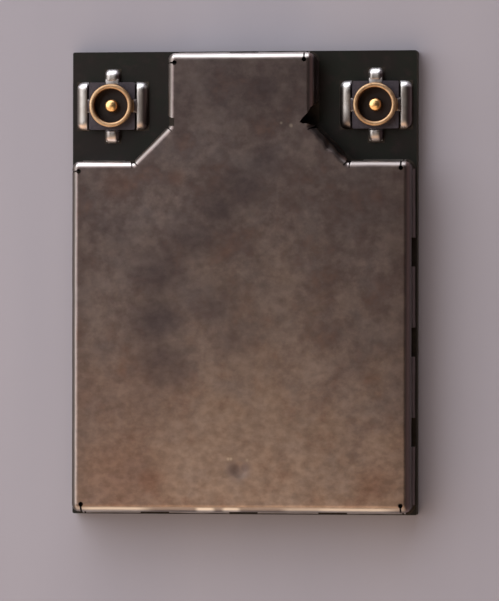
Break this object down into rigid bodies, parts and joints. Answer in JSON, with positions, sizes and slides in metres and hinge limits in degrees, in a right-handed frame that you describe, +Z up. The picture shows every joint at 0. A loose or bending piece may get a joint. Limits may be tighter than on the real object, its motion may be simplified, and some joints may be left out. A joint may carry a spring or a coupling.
{
  "type": "laptop wifi card",
  "caption": "Solder-down laptop wireless network card: small dark circuit board under a folded metal shield can, with a push-on coaxial aerial socket in each upper corner.",
  "frame": {"origin": "middle of the card's outline, on the plane of the solder lands under the board", "axes": "+Y along the board towards the aerial sockets, +X to the right seen from above, +Z up out of the lid"},
  "size_m": [0.012, 0.016, 0.0016],
  "materials": {
    "board_mask": "dark green-black solder mask over glass laminate",
    "tinned_copper": "soldered copper land, slightly dull",
    "gold_lands": "thin gold plating, satin",
    "shield_metal": "satin tinned sheet, stained and scuffed",
    "solder": "bright solder, uneven",
    "gold_plating": "worn gold plating, satin",
    "insulator": "dark moulded resin",
    "chip_package": "black moulding compound",
    "ceramic_body": "fired ceramic, matt",
    "ferrite": "dark ferrite, matt"
  },
  "bodies": {
    "root": {"circuit_board": "board_mask", "signal_lands": "gold_lands", "ground_lands": "gold_lands", "shield_track": "tinned_copper", "shield_can": "shield_metal", "shield_solder": "solder", "socket_lands": "tinned_copper", "radio_chip": "chip_package", "radio_chip_contacts": "tinned_copper", "memory_chip": "chip_package", "memory_chip_contacts": "tinned_copper", "left_front_end_chip": "chip_package", "right_front_end_chip": "chip_package", "front_end_chip_contacts": "tinned_copper", "crystal_base": "ceramic_body", "crystal_base_contacts": "tinned_copper", "crystal_lid": "gold_plating", "left_diplexer": "ceramic_body", "right_diplexer": "ceramic_body", "diplexer_contacts": "tinned_copper", "power_inductor_bodies": "ferrite", "power_inductor_ends": "tinned_copper", "large_capacitor_bodies": "ceramic_body", "large_capacitor_ends": "tinned_copper", "small_capacitor_bodies": "ceramic_body", "small_capacitor_ends": "tinned_copper", "resistor_bodies": "ferrite", "resistor_ends": "tinned_copper", "matching_inductor_bodies": "ceramic_body", "matching_inductor_ends": "tinned_copper", "left_socket_shell": "gold_plating", "left_socket_insulator": "insulator", "left_socket_contact": "gold_plating", "left_socket_solder": "solder", "right_socket_shell": "gold_plating", "right_socket_insulator": "insulator", "right_socket_contact": "gold_plating", "right_socket_solder": "solder"}
  },
  "joints": []
}
